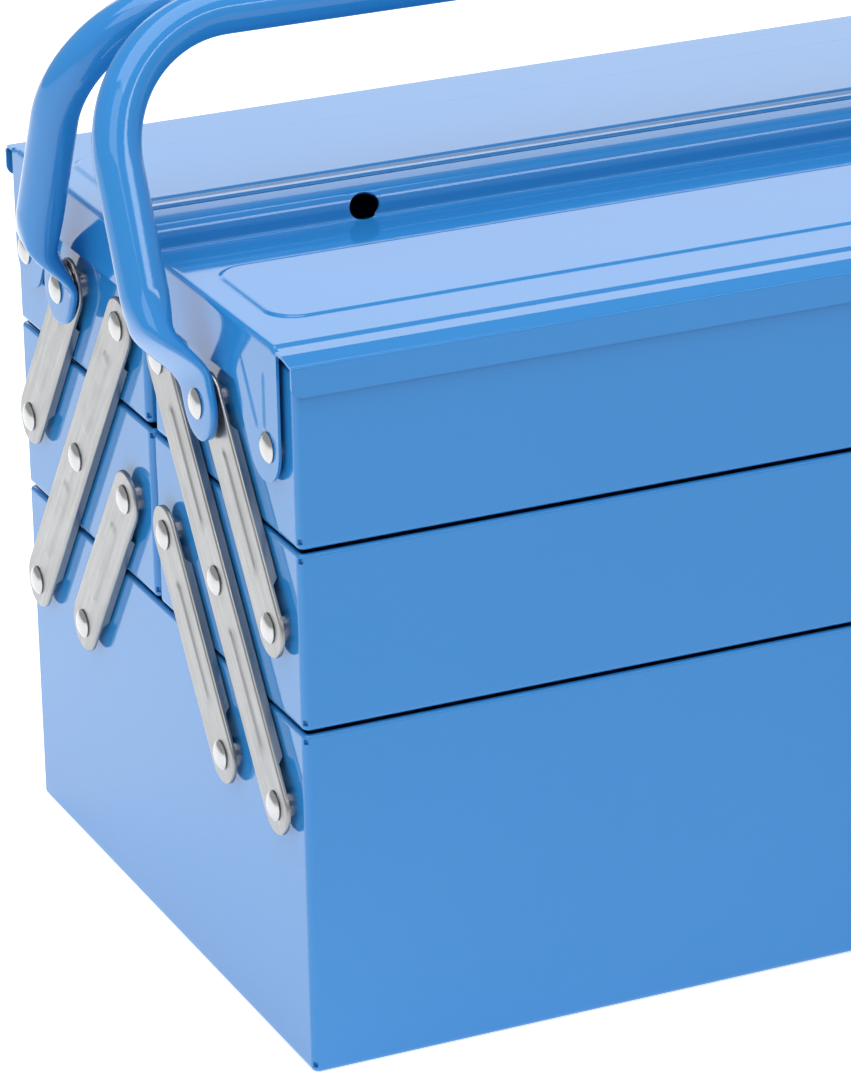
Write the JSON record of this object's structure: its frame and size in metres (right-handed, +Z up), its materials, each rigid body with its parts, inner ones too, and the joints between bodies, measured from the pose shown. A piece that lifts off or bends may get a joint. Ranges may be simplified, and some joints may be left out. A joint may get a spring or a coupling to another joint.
{
  "type": "cantilever toolbox",
  "caption": "Steel cantilever toolbox with spreading trays on riveted links, two lids and folding tube handles.",
  "frame": {"origin": "middle of the bottom face of the bottom box", "axes": "+X along the box's length, +Y to the rear, +Z up"},
  "size_m": [0.473, 0.2036, 0.27],
  "materials": {
    "blue_paint": "gloss",
    "link_zinc": "satin",
    "rivet_steel": "satin"
  },
  "bodies": {
    "root": {"bottom_box": "blue_paint", "box_rivets": "rivet_steel"},
    "front_long_links": {"front_left_long_link": "link_zinc", "front_right_long_link": "link_zinc"},
    "front_lower_links": {"front_left_lower_link": "link_zinc", "front_right_lower_link": "link_zinc"},
    "front_middle_tray": {"front_middle_tray": "blue_paint", "front_middle_tray_rivets": "rivet_steel"},
    "front_upper_links": {"front_left_upper_link": "link_zinc", "front_right_upper_link": "link_zinc"},
    "front_top_tray": {"front_top_tray": "blue_paint", "front_top_tray_rivets": "rivet_steel", "front_handle_rivets": "rivet_steel", "front_lid_rivets": "rivet_steel", "front_handle_washers": "rivet_steel"},
    "front_lid": {"front_lid": "blue_paint"},
    "front_handle": {"front_handle": "blue_paint"},
    "rear_long_links": {"rear_left_long_link": "link_zinc", "rear_right_long_link": "link_zinc"},
    "rear_lower_links": {"rear_left_lower_link": "link_zinc", "rear_right_lower_link": "link_zinc"},
    "rear_middle_tray": {"rear_middle_tray": "blue_paint", "rear_middle_tray_rivets": "rivet_steel"},
    "rear_upper_links": {"rear_left_upper_link": "link_zinc", "rear_right_upper_link": "link_zinc"},
    "rear_top_tray": {"rear_top_tray": "blue_paint", "rear_top_tray_rivets": "rivet_steel", "rear_handle_rivets": "rivet_steel", "rear_lid_rivets": "rivet_steel", "rear_handle_washers": "rivet_steel"},
    "rear_lid": {"rear_lid": "blue_paint"},
    "rear_handle": {"rear_handle": "blue_paint"}
  },
  "joints": [
    {"name": "front_open", "type": "hinge", "parent": "root", "child": "front_long_links", "pos_m": [0, -0.0865, 0.073], "axis": [1, 0, 0], "range_deg": [0, 71.5]},
    {"name": "front_lower_links_swing", "type": "hinge", "parent": "root", "child": "front_lower_links", "pos_m": [0, -0.0505, 0.073], "axis": [1, 0, 0], "range_deg": [0, 71.5]},
    {"name": "front_middle_tray_level", "type": "hinge", "parent": "front_long_links", "child": "front_middle_tray", "pos_m": [0, -0.0505, 0.123], "axis": [1, 0, 0], "range_deg": [-71.5, 0]},
    {"name": "front_top_tray_level", "type": "hinge", "parent": "front_long_links", "child": "front_top_tray", "pos_m": [0, -0.0145, 0.173], "axis": [1, 0, 0], "range_deg": [-71.5, 0]},
    {"name": "front_upper_links_swing", "type": "hinge", "parent": "front_middle_tray", "child": "front_upper_links", "pos_m": [0, -0.0865, 0.123], "axis": [1, 0, 0], "range_deg": [0, 71.5]},
    {"name": "front_handle_fold", "type": "hinge", "parent": "front_top_tray", "child": "front_handle", "pos_m": [0, -0.0505, 0.173], "axis": [1, 0, 0], "range_deg": [0, 115]},
    {"name": "front_lid_lift", "type": "hinge", "parent": "front_top_tray", "child": "front_lid", "pos_m": [0, -0.087, 0.1725], "axis": [1, 0, 0], "range_deg": [0, 95]},
    {"name": "rear_open", "type": "hinge", "parent": "root", "child": "rear_long_links", "pos_m": [0, 0.0865, 0.073], "axis": [-1, 0, 0], "range_deg": [0, 71.5]},
    {"name": "rear_lower_links_swing", "type": "hinge", "parent": "root", "child": "rear_lower_links", "pos_m": [0, 0.0505, 0.073], "axis": [-1, 0, 0], "range_deg": [0, 71.5]},
    {"name": "rear_middle_tray_level", "type": "hinge", "parent": "rear_long_links", "child": "rear_middle_tray", "pos_m": [0, 0.0505, 0.123], "axis": [-1, 0, 0], "range_deg": [-71.5, 0]},
    {"name": "rear_top_tray_level", "type": "hinge", "parent": "rear_long_links", "child": "rear_top_tray", "pos_m": [0, 0.0145, 0.173], "axis": [-1, 0, 0], "range_deg": [-71.5, 0]},
    {"name": "rear_upper_links_swing", "type": "hinge", "parent": "rear_middle_tray", "child": "rear_upper_links", "pos_m": [0, 0.0865, 0.123], "axis": [-1, 0, 0], "range_deg": [0, 71.5]},
    {"name": "rear_handle_fold", "type": "hinge", "parent": "rear_top_tray", "child": "rear_handle", "pos_m": [0, 0.0505, 0.173], "axis": [-1, 0, 0], "range_deg": [0, 115]},
    {"name": "rear_lid_lift", "type": "hinge", "parent": "rear_top_tray", "child": "rear_lid", "pos_m": [0, 0.087, 0.1725], "axis": [-1, 0, 0], "range_deg": [0, 95]}
  ],
  "couplings": [
    {"joint": "front_lower_links_swing", "follows": "front_open", "ratio": 1},
    {"joint": "front_middle_tray_level", "follows": "front_open", "ratio": -1},
    {"joint": "front_top_tray_level", "follows": "front_open", "ratio": -1},
    {"joint": "front_upper_links_swing", "follows": "front_open", "ratio": 1},
    {"joint": "front_lid_lift", "follows": "front_handle_fold", "ratio": 0.826},
    {"joint": "rear_lower_links_swing", "follows": "rear_open", "ratio": 1},
    {"joint": "rear_middle_tray_level", "follows": "rear_open", "ratio": -1},
    {"joint": "rear_top_tray_level", "follows": "rear_open", "ratio": -1},
    {"joint": "rear_upper_links_swing", "follows": "rear_open", "ratio": 1},
    {"joint": "rear_lid_lift", "follows": "rear_handle_fold", "ratio": 0.826}
  ]
}
